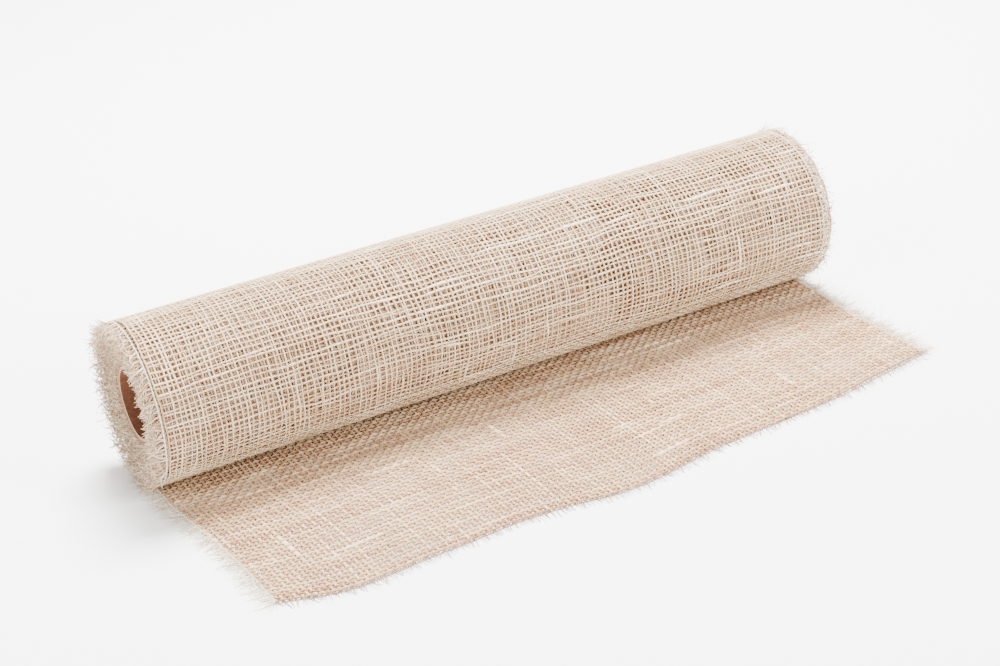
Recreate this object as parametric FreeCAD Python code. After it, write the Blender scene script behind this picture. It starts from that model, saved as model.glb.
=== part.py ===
"""A roll of open-weave jute cloth on a card core, with its free end laid out on the table.

The roll lies along X. The free end leaves the underside of the roll towards -Y and lies on
the table, which is the plane Z = 0. The origin is on the table, under the middle of the roll.
All sizes are in millimetres.
"""

import FreeCAD
import Part
import math
import os

# --- Driving dimensions -------------------------------------------------------------------

cloth_width = 500.0          # between the selvage threads
cloth_thickness = 1.2        # one layer, pressed flat
winding_gap = 0.12           # air between two turns
roll_diameter = 110.0        # over the outermost turn
outer_turn_arcs = 2          # half turns that are kept apart as the outermost turn

core_bore_diameter = 45.0
core_end_inset = 0.0         # how far each end of the core stands in from the cloth's edge
liner_thickness = 0.6        # innermost paper ply
board_thickness = 1.8        # middle plies of grey board
wrapper_thickness = 0.6      # outermost paper ply
ply_glue_gap = 0.02

tape_width = 20.0            # double-sided tape that holds the cloth's first turn
tape_thickness = 0.15
tape_end_margin = 15.0       # bare core past each end of the tape
tape_clearance = 0.05

selvage_width = 1.2          # the white thread that locks each edge
roll_fringe_length = 10.5    # weft ends past the selvage, curled in on the roll
laid_fringe_length = 16.0    # the same weft ends, lying straight
weft_pitch = 3.6             # between two weft yarns, along the cloth
warp_pitch = 3.571           # between two warp yarns, across the cloth
fringe_yarn_diameter = 0.9
fringe_root_gap = 0.2        # between a yarn end's solid and the edge that it grows from
hem_fringe_length = 9.0      # frayed warp ends past the last weft

roll_out_travel = 36.0       # how far the roll can run back: ten weft pitches
lap_length = 6.0             # cloth that stays lapped at the end of that travel
running_gap = 0.05           # between layers that slide or turn on each other
nip_strip_reach = 8.0        # cloth behind the line where the roll stands

lift_line = 75.0             # distance from the roll's contact line to the fold line
draw_in_end = 170.0          # the cloth has drawn in fully at this distance from the roll
edge_curve_steps = 4         # spans between the points that an edge curve goes through
hem_points = [               # across the cloth, then how far the last weft is from the roll
    (-1.0, 185.0), (-0.86, 196.0), (-0.6, 194.0), (-0.3, 191.0), (0.0, 198.0),
    (0.24, 188.0), (0.5, 184.0), (0.7, 179.0), (0.84, 172.0), (1.0, 166.0),
]
left_edge_draw_in = 10.5     # the laid cloth narrows by this much on its left side
right_edge_draw_in = 2.0     # and by this much on its right side

# --- Sizes that follow --------------------------------------------------------------------

half_width = cloth_width / 2
core_length = cloth_width - 2 * core_end_inset
turn_pitch = cloth_thickness + winding_gap
roll_radius = roll_diameter / 2
ply_radii = [core_bore_diameter / 2]
for ply in (liner_thickness, board_thickness, wrapper_thickness):
    ply_radii.append(ply_radii[-1] + ply + (ply_glue_gap if len(ply_radii) < 3 else 0))
core_radius = ply_radii[-1]

roll_bottom = cloth_thickness + running_gap
first_centre = roll_bottom + roll_radius
axis_height = first_centre + turn_pitch / 4
winding_room = roll_radius - core_radius - tape_thickness - tape_clearance - turn_pitch / 4
half_turns = int(2 * (winding_room - cloth_thickness) / turn_pitch)
lower_layer = cloth_thickness / 2 - running_gap
straight_edge_length = roll_out_travel + lap_length + running_gap

parts_folder = "parts"
X = FreeCAD.Vector(1, 0, 0)
Y = FreeCAD.Vector(0, 1, 0)


def point(y, z, x=0.0):
    """A point, given in the order that the cross-sections use."""
    return FreeCAD.Vector(x, y, z)


def save(name, *shapes):
    """Writes one node's solids to its STEP file."""
    shape = shapes[0] if len(shapes) == 1 else Part.makeCompound(list(shapes))
    if not shape.isValid():
        raise ValueError(name + " is not a valid shape")
    shape.exportStep(os.path.join(parts_folder, name + ".step"))
    print("%-24s solids %4d  volume %10.1f mm3" % (name, len(shape.Solids), shape.Volume))


def tube(inner, outer, length):
    """A tube along X, centred on the roll's axis."""
    start = point(0, axis_height, -length / 2)
    wall = Part.makeCylinder(outer, length, start, X)
    return wall.cut(Part.makeCylinder(inner, length, start, X))


# --- The winding --------------------------------------------------------------------------

def half_turn(index, inset):
    """One half turn of the winding, inset from the cloth's outer face.

    Even half turns go up behind the roll and odd ones come down in front of it. Their radii
    fall by half a pitch each, and each starts where the last one ended, on the same tangent.
    """
    radius = roll_radius - index * turn_pitch / 2
    rising = index % 2 == 0
    centre = first_centre if rising else first_centre + turn_pitch / 2
    side = 1 if rising else -1
    start = point(0, centre - side * (radius - inset))
    middle = point(side * (radius - inset), centre)
    end = point(0, centre + side * (radius - inset))
    return Part.Arc(start, middle, end)


def winding(first, last, x_start, length):
    """The cloth from half turn first up to half turn last, as one spiral solid."""
    outer = [half_turn(i, 0.0) for i in range(first, last)]
    inner = [half_turn(i, cloth_thickness) for i in range(first, last)]
    caps = [
        Part.LineSegment(inner[0].StartPoint, outer[0].StartPoint),
        Part.LineSegment(outer[-1].EndPoint, inner[-1].EndPoint),
    ]
    wire = Part.Wire(Part.__sortEdges__([c.toShape() for c in outer + inner + caps]))
    solid = Part.Face(wire).extrude(X * length)
    solid.translate(X * x_start)
    return solid


def make_core():
    """The card tube, ply by ply, and the tape that holds the cloth's first turn to it."""
    save("core_liner", tube(ply_radii[0], ply_radii[0] + liner_thickness, core_length))
    save("core_board", tube(ply_radii[1], ply_radii[1] + board_thickness, core_length))
    save("core_wrapper", tube(ply_radii[2], core_radius, core_length))

    tape_length = core_length - 2 * tape_end_margin
    sleeve = tube(core_radius, core_radius + tape_thickness, tape_length)
    block = Part.makeBox(
        tape_length, tape_width, core_radius * 2,
        point(-tape_width / 2, axis_height, -tape_length / 2),
    )
    save("start_tape", sleeve.common(block))


def make_roll():
    """The wound cloth, its outermost turn, and the selvage threads and fringes at its ends."""
    save("outer_turn", winding(0, outer_turn_arcs, -half_width, cloth_width))
    save("wound_cloth", winding(outer_turn_arcs, half_turns, -half_width, cloth_width))
    fringe_start = half_width + selvage_width
    for side, sign in (("left", -1), ("right", 1)):
        thread_x = half_width if sign > 0 else -fringe_start
        fringe_x = fringe_start if sign > 0 else -fringe_start - roll_fringe_length
        save("roll_selvage_" + side, winding(0, half_turns, thread_x, selvage_width))
        save("roll_fringe_" + side, winding(0, half_turns, fringe_x, roll_fringe_length))


# --- The laid cloth -----------------------------------------------------------------------

def draw_in(side, distance):
    """How far the cloth's edge has drawn in at a distance from the roll."""
    total = left_edge_draw_in if side < 0 else right_edge_draw_in
    share = (distance - straight_edge_length) / (draw_in_end - straight_edge_length)
    return total * math.sin(math.pi / 2 * min(1.0, max(0.0, share)))


def edge_x(side, distance):
    """The X of the cloth's edge, where the selvage thread starts."""
    return side * (half_width - draw_in(side, distance))


def slab(outline, z, thickness):
    """A flat piece with the given edges, between z and z + thickness."""
    face = Part.Face(Part.Wire(Part.__sortEdges__([e.toShape() for e in outline])))
    solid = face.extrude(FreeCAD.Vector(0, 0, thickness))
    solid.translate(FreeCAD.Vector(0, 0, z))
    return solid


def flat_curve(points):
    """A smooth curve through points (x, distance from the roll) on the table."""
    curve = Part.BSplineCurve()
    curve.interpolate([FreeCAD.Vector(x, -d, 0) for x, d in points])
    return curve


def hem_curve():
    """The last weft, a little wavy where the cloth was cut by hand."""
    ends = {s: edge_x(s, hem_points[0 if s < 0 else -1][1]) for s in (-1, 1)}
    return flat_curve([(share * abs(ends[-1 if share < 0 else 1]), d) for share, d in hem_points])


def edge_curve(side, start, end, offset=0.0):
    """The cloth's side edge between two distances from the roll, offset outwards."""
    span = (end - start) / edge_curve_steps
    steps = [start + span * k for k in range(edge_curve_steps + 1)]
    return flat_curve([(edge_x(side, d) + side * offset, d) for d in steps])


def line(x0, d0, x1, d1):
    """A straight edge on the table."""
    return Part.LineSegment(FreeCAD.Vector(x0, -d0, 0), FreeCAD.Vector(x1, -d1, 0))


def end_of(curve, last=True):
    """Where a flat curve ends or starts, as (x, distance)."""
    p = curve.value(curve.LastParameter if last else curve.FirstParameter)
    return p.x, -p.y


def strip_between(start, end, z, thickness):
    """The cloth's full width between two distances from the roll, with its drawn-in edges."""
    left, right = edge_curve(-1, start, end), edge_curve(1, start, end)
    across = [line(*end_of(left, last), *end_of(right, last)) for last in (False, True)]
    return slab([left, right] + across, z, thickness)


def selvage(side, start, end):
    """The selvage thread along one edge, between two distances from the roll."""
    inner, outer = edge_curve(side, start, end), edge_curve(side, start, end, selvage_width)
    across = [line(*end_of(inner, last), *end_of(outer, last)) for last in (False, True)]
    return slab([inner, outer] + across, 0, cloth_thickness)


def laid_selvage(side):
    """The laid cloth's selvage thread: straight beside the reserve, then drawn in."""
    x_start = half_width if side > 0 else -half_width - selvage_width
    straight = Part.makeBox(selvage_width, straight_edge_length, cloth_thickness,
                            FreeCAD.Vector(x_start, -straight_edge_length, 0))
    return straight.fuse(selvage(side, straight_edge_length, lift_line)).removeSplitter()


def weft_ends(side, start, end):
    """The frayed weft ends that stick out past one selvage thread."""
    ends = []
    for k in range(int((end - start) / weft_pitch)):
        distance = start + weft_pitch * (k + 0.5)
        root = edge_x(side, distance) + side * (selvage_width + fringe_root_gap)
        place = FreeCAD.Vector(root, -distance, fringe_yarn_diameter / 2)
        ends.append(Part.makeCylinder(
            fringe_yarn_diameter / 2, laid_fringe_length, place, X * side))
    return ends


def make_laid_cloth():
    """The cloth that lies between the roll and the fold line."""
    upper = Part.makeBox(cloth_width, straight_edge_length, cloth_thickness / 2,
                         FreeCAD.Vector(-half_width, -straight_edge_length, cloth_thickness / 2))
    foot = strip_between(straight_edge_length, lift_line, 0, cloth_thickness)
    save("laid_cloth", upper.fuse(foot).removeSplitter())
    for side, sign in (("left", -1), ("right", 1)):
        save("laid_selvage_" + side, laid_selvage(sign))
        save("laid_fringe_" + side, *weft_ends(sign, 0, lift_line))


def make_nip():
    """The cloth that follows the roll: it lies under the roll and under the laid cloth."""
    reach = roll_out_travel + lap_length
    under = Part.makeBox(cloth_width, reach, lower_layer,
                         FreeCAD.Vector(-half_width, -reach, 0))
    strip = Part.makeBox(cloth_width, nip_strip_reach, cloth_thickness,
                         FreeCAD.Vector(-half_width, 0, 0))
    save("nip_cloth", under.fuse(strip).removeSplitter())


def make_free_end():
    """The cloth past the fold line, with its selvages, side fringes and frayed hem."""
    hem = hem_curve()
    corners = {-1: hem_points[0][1], 1: hem_points[-1][1]}
    edges = {s: edge_curve(s, lift_line, corners[s]) for s in (-1, 1)}
    fold = line(*end_of(edges[-1], False), *end_of(edges[1], False))
    save("free_end_cloth", slab([edges[-1], hem, edges[1], fold], 0, cloth_thickness))
    for side, sign in (("left", -1), ("right", 1)):
        save("free_end_selvage_" + side, selvage(sign, lift_line, corners[sign]))
        save("free_end_fringe_" + side, *weft_ends(sign, lift_line, corners[sign]))
    warps = int(round(cloth_width / warp_pitch))
    strands = []
    for k in range(warps):
        share = (k + 0.5) / warps
        at = hem.value(hem.FirstParameter + share * (hem.LastParameter - hem.FirstParameter))
        start = FreeCAD.Vector(at.x, at.y - fringe_root_gap, fringe_yarn_diameter / 2)
        strands.append(Part.makeCylinder(
            fringe_yarn_diameter / 2, hem_fringe_length, start, Y * -1))
    save("hem_fringe", *strands)


os.makedirs(parts_folder, exist_ok=True)
make_core()
make_roll()
make_laid_cloth()
make_nip()
make_free_end()
turns = half_turns / 2
wound_length = sum(math.pi * (roll_radius - i * turn_pitch / 2) for i in range(half_turns))
print("turns %.1f, wound length %.2f m, axis height %.3f" % (turns, wound_length / 1000, axis_height))
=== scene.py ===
"""A roll of open-weave jute cloth on a card core, with its free end laid out on the table.

Every length is in metres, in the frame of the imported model: X along the roll, Z up, the free end
of the cloth towards -Y, and the origin on the table under the middle of the roll.

Two coordinates place a point of the cloth. Across runs over its width, along X. Along is the
distance from the line where the roll touches the table, positive into the roll and negative
towards the hem.
"""

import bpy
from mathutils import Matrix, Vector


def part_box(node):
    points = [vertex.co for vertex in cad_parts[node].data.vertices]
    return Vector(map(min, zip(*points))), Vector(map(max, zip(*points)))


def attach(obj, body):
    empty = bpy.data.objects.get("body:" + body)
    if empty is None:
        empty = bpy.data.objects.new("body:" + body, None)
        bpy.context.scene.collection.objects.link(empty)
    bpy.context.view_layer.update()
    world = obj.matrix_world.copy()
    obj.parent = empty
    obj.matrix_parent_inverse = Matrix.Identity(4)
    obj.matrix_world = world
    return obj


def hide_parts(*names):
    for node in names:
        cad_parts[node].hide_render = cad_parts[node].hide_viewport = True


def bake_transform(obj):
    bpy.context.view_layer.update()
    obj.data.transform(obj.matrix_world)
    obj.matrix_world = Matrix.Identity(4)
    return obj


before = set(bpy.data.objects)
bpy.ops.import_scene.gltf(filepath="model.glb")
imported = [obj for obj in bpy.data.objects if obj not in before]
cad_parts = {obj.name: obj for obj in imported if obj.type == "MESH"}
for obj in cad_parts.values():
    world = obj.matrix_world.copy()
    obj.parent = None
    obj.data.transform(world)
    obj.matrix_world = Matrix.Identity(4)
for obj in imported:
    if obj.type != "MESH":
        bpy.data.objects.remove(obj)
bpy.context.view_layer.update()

import logging
import math
from collections.abc import Callable
from dataclasses import dataclass, field
from enum import Enum

import bmesh
import bpy
import numpy as np
from mathutils import Matrix, Vector

log = logging.getLogger("jute_roll")

UP = np.array([0.0, 0.0, 1.0])
NO_PULL = np.zeros(3)
Colour = tuple[float, float, float, float]
Placed = tuple[np.ndarray, np.ndarray]
Placer = Callable[[np.ndarray, np.ndarray, np.ndarray], Placed]


# --- Shared sizes -------------------------------------------------------------------------


class Body(str, Enum):
    """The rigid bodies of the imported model."""

    LAID = "laid"
    NIP = "nip"
    ROLL = "roll"
    FREE_END = "free_end"


class Edge(Enum):
    """The two long edges of the cloth, by the sign of their X."""

    LEFT = -1
    RIGHT = 1


class Slot(str, Enum):
    """The names of the material slots."""

    CARD = "kraft_card"
    TAPE = "tape"
    JUTE = "jute"
    THREAD = "selvage_thread"
    FRINGE = "jute_fringe"


@dataclass(frozen=True)
class ClothSizes:
    """The sizes of the cloth, its yarns and the way that it is laid out."""

    width: float = 0.500
    warps: int = 140
    pick_pitch: float = 0.0036
    picks_per_turn: tuple[int, int] = (96, 92)
    turn_pitch: float = 0.00132
    selvage_offset: float = -0.0005
    laid_fringe: float = 0.0160
    hem_fringe: float = 0.0095
    straight_length: float = 0.042
    draw_in_end: float = 0.170
    left_draw_in: float = 0.0105
    right_draw_in: float = 0.002
    fold_line: float = 0.075
    fold_reach: float = 0.012
    picks_before_fold: int = 21
    picks_laid: int = 52
    reserve_picks: int = 11
    hem: tuple[tuple[float, float], ...] = (
        (-1.0, 0.185), (-0.86, 0.196), (-0.6, 0.194), (-0.3, 0.191), (0.0, 0.198),
        (0.24, 0.188), (0.5, 0.184), (0.7, 0.179), (0.84, 0.172), (1.0, 0.166))

    @property
    def warp_pitch(self) -> float:
        """The distance between two warp yarns."""
        return self.width / self.warps


@dataclass(frozen=True)
class YarnSizes:
    """How thick one set of yarns is, and how far it rises and dips at the crossings."""

    half_width: float
    half_height: float
    lift: float


@dataclass(frozen=True)
class RollSizes:
    """The sizes of the roll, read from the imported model."""

    radius: float
    axis_height: float
    core_radius: float

    @classmethod
    def from_frame(cls) -> "RollSizes":
        """The roll's sizes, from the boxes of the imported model's nodes.

        Returns:
            The sizes.
        """
        low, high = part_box("outer_turn")
        liner_low, liner_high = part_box("core_liner")
        wrapper_low, wrapper_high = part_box("core_wrapper")
        return cls(
            radius=(high[2] - low[2]) / 2,
            axis_height=(liner_low[2] + liner_high[2]) / 2,
            core_radius=(wrapper_high[2] - wrapper_low[2]) / 2,
        )


CLOTH = ClothSizes()
TIGHT_WARP = YarnSizes(half_width=0.00050, half_height=0.00036, lift=0.00030)
TIGHT_PICK = YarnSizes(half_width=0.00054, half_height=0.00038, lift=0.00030)
LOOSE_WARP = YarnSizes(half_width=0.00092, half_height=0.00036, lift=0.00014)
LOOSE_PICK = YarnSizes(half_width=0.00104, half_height=0.00058, lift=0.00066)
FLAT_YARN = YarnSizes(half_width=0.00105, half_height=0.00020, lift=0.00012)
WEAVE_DEPTH = 0.00062  # from the outside of a wound turn to the middle of its weave

# How far the crossings wander, and over how many warps and picks each wander is smooth.
ACROSS_WANDER = ((0.00046, (0, 1.6)), (0.00045, (6, 5)), (0.00070, (15, 11)))
ALONG_WANDER = ((0.00048, (1.8, 0)), (0.00080, (7, 4)), (0.00090, (16, 10)))
WARP_JITTER = 0.00022
PICK_JITTER = 0.00020


# --- Noise --------------------------------------------------------------------------------


def smooth_noise(rng: np.random.Generator, shape: tuple[int, ...], reach: tuple[float, ...]) -> np.ndarray:
    """Noise of unit spread that is smooth over a given reach and wraps round.

    Args:
        rng: the source of the noise.
        shape: the number of samples along each axis.
        reach: how many samples the noise is smooth over, along each axis.

    Returns:
        The noise, in the given shape.
    """
    waves = np.fft.fftn(rng.standard_normal(shape))
    for axis, length in enumerate(reach):
        frequency = np.fft.fftfreq(shape[axis]) * 2 * math.pi * length
        keep = np.exp(-0.5 * frequency**2)
        waves *= keep.reshape([-1 if axis == a else 1 for a in range(len(shape))])
    made = np.real(np.fft.ifftn(waves))
    return made / made.std()


def ease(value: np.ndarray) -> np.ndarray:
    """Goes smoothly from 0 to 1 as a value goes from 0 to 1, and stays level outside.

    Args:
        value: the values.

    Returns:
        The eased values.
    """
    share = np.clip(value, 0, 1)
    return share * share * (3 - 2 * share)


def outward(turn: np.ndarray) -> np.ndarray:
    """The direction out from the roll's axis at each angle round it, 0 being straight down."""
    return np.stack([np.zeros_like(turn), np.sin(turn), -np.cos(turn)], -1)


def with_middles(values: np.ndarray, axis: int, closed: bool) -> np.ndarray:
    """The values along an axis, with a smooth middle value put between each two.

    Args:
        values: the samples.
        axis: the axis along which the middles are added.
        closed: whether the last sample is followed by the first.

    Returns:
        Twice as many samples when closed, or one fewer than that when open.
    """
    v = np.moveaxis(values, axis, 0)
    if closed:
        before, after, beyond = np.roll(v, 1, 0), np.roll(v, -1, 0), np.roll(v, -2, 0)
        middle = (9 * (v + after) - before - beyond) / 16
        out = np.stack([v, middle], 1).reshape(-1, *v.shape[1:])
    else:
        padded = np.concatenate([2 * v[:1] - v[1:2], v, 2 * v[-1:] - v[-2:-1]])
        middle = (9 * (v[:-1] + v[1:]) - padded[:-3] - padded[3:]) / 16
        out = np.empty((2 * len(v) - 1, *v.shape[1:]))
        out[0::2] = v
        out[1::2] = middle
    return np.moveaxis(out, 0, axis)


# --- Yarns --------------------------------------------------------------------------------


@dataclass
class Yarns:
    """A batch of yarns with the same number of points each.

    Every field but sides and closed has one entry for each yarn and point.
    """

    centre: np.ndarray
    normal: np.ndarray
    wide: np.ndarray
    tall: np.ndarray
    shade: np.ndarray
    sides: int = 5
    closed: bool = False


class YarnPiece:
    """Collects batches of yarns and makes one mesh object of them, each yarn a closed tube."""

    def __init__(self, name: str) -> None:
        """Starts an empty piece.

        Args:
            name: the object's name.
        """
        self.name = name
        self.points: list[np.ndarray] = []
        self.shades: list[np.ndarray] = []
        self.loops: list[np.ndarray] = []
        self.totals: list[np.ndarray] = []
        self.uvs: list[np.ndarray] = []
        self.count = 0

    def add(self, yarns: Yarns) -> None:
        """Adds a batch of yarns.

        Args:
            yarns: the batch.
        """
        centre, sides = yarns.centre, yarns.sides
        many, length = centre.shape[:2]
        if yarns.closed:
            run = np.roll(centre, -1, 1) - np.roll(centre, 1, 1)
        else:
            run = np.gradient(centre, axis=1)
        run /= np.maximum(np.linalg.norm(run, axis=-1, keepdims=True), 1e-12)
        across = np.cross(run, yarns.normal)
        across /= np.maximum(np.linalg.norm(across, axis=-1, keepdims=True), 1e-12)
        above = np.cross(across, run)
        turn = (np.arange(sides) + 0.5) * 2 * math.pi / sides
        ring = (
            centre[:, :, None]
            + (yarns.wide[:, :, None] * np.cos(turn))[..., None] * across[:, :, None]
            + (yarns.tall[:, :, None] * np.sin(turn))[..., None] * above[:, :, None]
        )
        self.points.append(ring.reshape(-1, 3))
        self.shades.append(np.repeat(yarns.shade.ravel(), sides))
        self._add_walls(yarns, many, length)
        if not yarns.closed:
            self._add_ends(many, length, sides)
        self.count += many * length * sides

    def _add_walls(self, yarns: Yarns, many: int, length: int) -> None:
        """Adds the faces along a batch's tubes, with their UVs.

        Args:
            yarns: the batch.
            many: the number of yarns.
            length: the number of points on each yarn.
        """
        sides = yarns.sides
        spans = length if yarns.closed else length - 1
        y, i, k = np.meshgrid(np.arange(many), np.arange(spans), np.arange(sides), indexing="ij")
        nxt, kn = (i + 1) % length, (k + 1) % sides
        base = self.count + y * length * sides
        corners = np.stack(
            [base + i * sides + k, base + nxt * sides + k, base + nxt * sides + kn, base + i * sides + kn], -1
        )
        self.loops.append(corners.ravel())
        self.totals.append(np.full(corners.size // 4, 4))
        steps = np.linalg.norm(np.diff(yarns.centre, axis=1), axis=-1)
        if yarns.closed:
            last = np.linalg.norm(yarns.centre[:, :1] - yarns.centre[:, -1:], axis=-1)
            steps = np.concatenate([steps, last], 1)
        reach = np.concatenate([np.zeros((many, 1)), np.cumsum(steps, 1)], 1)
        reach += np.arange(many)[:, None] * 0.377
        u0, u1 = reach[y, i], reach[y, i + 1]
        v0, v1 = k / sides, (k + 1) / sides
        self.uvs.append(np.stack([u0, v0, u1, v0, u1, v1, u0, v1], -1).reshape(-1, 2))

    def _add_ends(self, many: int, length: int, sides: int) -> None:
        """Closes the two ends of every tube in a batch.

        Args:
            many: the number of yarns.
            length: the number of points on each yarn.
            sides: the number of sides of each tube.
        """
        k = np.arange(sides)
        first = self.count + np.arange(many)[:, None] * length * sides
        near = first + k
        far = first + (length - 1) * sides + k[::-1]
        for caps in (near, far):
            self.loops.append(caps.ravel())
            self.totals.append(np.full(many, sides))
            self.uvs.append(np.zeros((caps.size, 2)))

    def build(self) -> bpy.types.Object:
        """Makes the mesh object.

        Returns:
            The object, linked to the scene.
        """
        mesh = bpy.data.meshes.new(self.name)
        points = np.concatenate(self.points)
        loops = np.concatenate(self.loops)
        totals = np.concatenate(self.totals)
        mesh.vertices.add(len(points))
        mesh.vertices.foreach_set("co", points.astype(np.float32).ravel())
        mesh.loops.add(len(loops))
        mesh.loops.foreach_set("vertex_index", loops.astype(np.int32))
        mesh.polygons.add(len(totals))
        starts = np.concatenate([[0], np.cumsum(totals)[:-1]])
        mesh.polygons.foreach_set("loop_start", starts.astype(np.int32))
        mesh.polygons.foreach_set("use_smooth", np.ones(len(totals), bool))
        uv = mesh.uv_layers.new(name="yarn")
        uv.uv.foreach_set("vector", np.concatenate(self.uvs).astype(np.float32).ravel())
        shade = mesh.attributes.new("shade", "FLOAT", "POINT")
        shade.data.foreach_set("value", np.concatenate(self.shades).astype(np.float32))
        mesh.update(calc_edges=True)
        made = bpy.data.objects.new(self.name, mesh)
        bpy.context.scene.collection.objects.link(made)
        triangles = int((totals - 2).sum())
        log.info("%s: %d triangles", self.name, triangles)
        return made


@dataclass
class Strands:
    """Loose ends of yarn: where each starts, where it heads and how it wanders."""

    start: np.ndarray
    heading: np.ndarray
    length: np.ndarray
    radius: float
    shade: np.ndarray
    pull: np.ndarray | None = None
    curl: float = 0.3
    points: int = 6
    sides: int = 4
    taper: float = 0.35
    floor: float | None = None

    def yarns(self, rng: np.random.Generator) -> Yarns:
        """Lets each strand wander off from its start.

        Args:
            rng: the source of the wandering.

        Returns:
            The strands as a batch of yarns.
        """
        many = len(self.start)
        step = (self.length / (self.points - 1))[:, None]
        heading = self.heading / np.linalg.norm(self.heading, axis=1, keepdims=True)
        turn = rng.standard_normal((many, 3)) * self.curl
        spots = [self.start]
        for _ in range(self.points - 1):
            heading = heading + turn / self.points + rng.standard_normal((many, 3)) * self.curl * 0.25
            if self.pull is not None:
                heading = heading + self.pull / self.points
            heading = heading / np.linalg.norm(heading, axis=1, keepdims=True)
            spot = spots[-1] + heading * step
            if self.floor is not None:
                spot[:, 2] = np.maximum(spot[:, 2], self.floor + self.radius)
            spots.append(spot)
        centre = np.stack(spots, 1)
        normal = np.broadcast_to(UP + 0.01, centre.shape).copy()
        size = self.radius * np.linspace(1.0, self.taper, self.points)
        wide = np.broadcast_to(size, (many, self.points))
        shade = np.broadcast_to(self.shade[:, None], (many, self.points))
        return Yarns(centre, normal, wide, wide, shade, self.sides)


@dataclass(frozen=True)
class EndKind:
    """One kind of loose yarn end or hair. Length and shade are drawn for each end.

    The length lies between two values, and the shade has a mean and a spread.
    """

    length: tuple[float, float]
    radius: float
    shade: tuple[float, float]
    curl: float
    points: int
    sides: int

    def add_to(
        self, piece: YarnPiece, rng: np.random.Generator, start: np.ndarray, heading: np.ndarray,
        pull: np.ndarray, scale: float = 1.0,
    ) -> None:
        """Adds one end at each start.

        Args:
            piece: collects the yarns.
            rng: the source of the wandering.
            start: where each end leaves the cloth.
            heading: the direction that each sets off in.
            pull: the direction that each turns towards.
            scale: what the lengths are multiplied by.
        """
        count = len(start)
        piece.add(Strands(
            start, heading, rng.uniform(*self.length, count) * scale, self.radius,
            rng.normal(*self.shade, count), pull, curl=self.curl, points=self.points,
            sides=self.sides, floor=0.0).yarns(rng))


ROLL_END = EndKind((0.0118, 0.0145), 0.00050, (0.45, 0.20), curl=0.45, points=7, sides=4)
ROLL_HAIR = EndKind((0.0025, 0.0052), 0.00020, (0.58, 0.22), curl=1.2, points=5, sides=3)
LAID_END = EndKind((0.010, CLOTH.laid_fringe), 0.00040, (0.55, 0.12), curl=0.45, points=8, sides=4)
LAID_HAIR = EndKind((0.008, 0.0168), 0.00017, (0.65, 0.12), curl=0.8, points=7, sides=3)
HEM_END = EndKind((0.75, 1.2), 0.00040, (0.5, 0.13), curl=0.22, points=6, sides=4)
HEM_HAIR = EndKind((0.5, 1.1), 0.00018, (0.6, 0.12), curl=0.6, points=5, sides=3)
RESERVE_END = EndKind((0.009, 0.015), 0.0002, (0.58, 0.12), curl=0.3, points=6, sides=3)
RESERVE_HAIR = EndKind((0.009, 0.015), 0.00013, (0.58, 0.12), curl=0.3, points=6, sides=3)


# --- The weave ----------------------------------------------------------------------------


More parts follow.
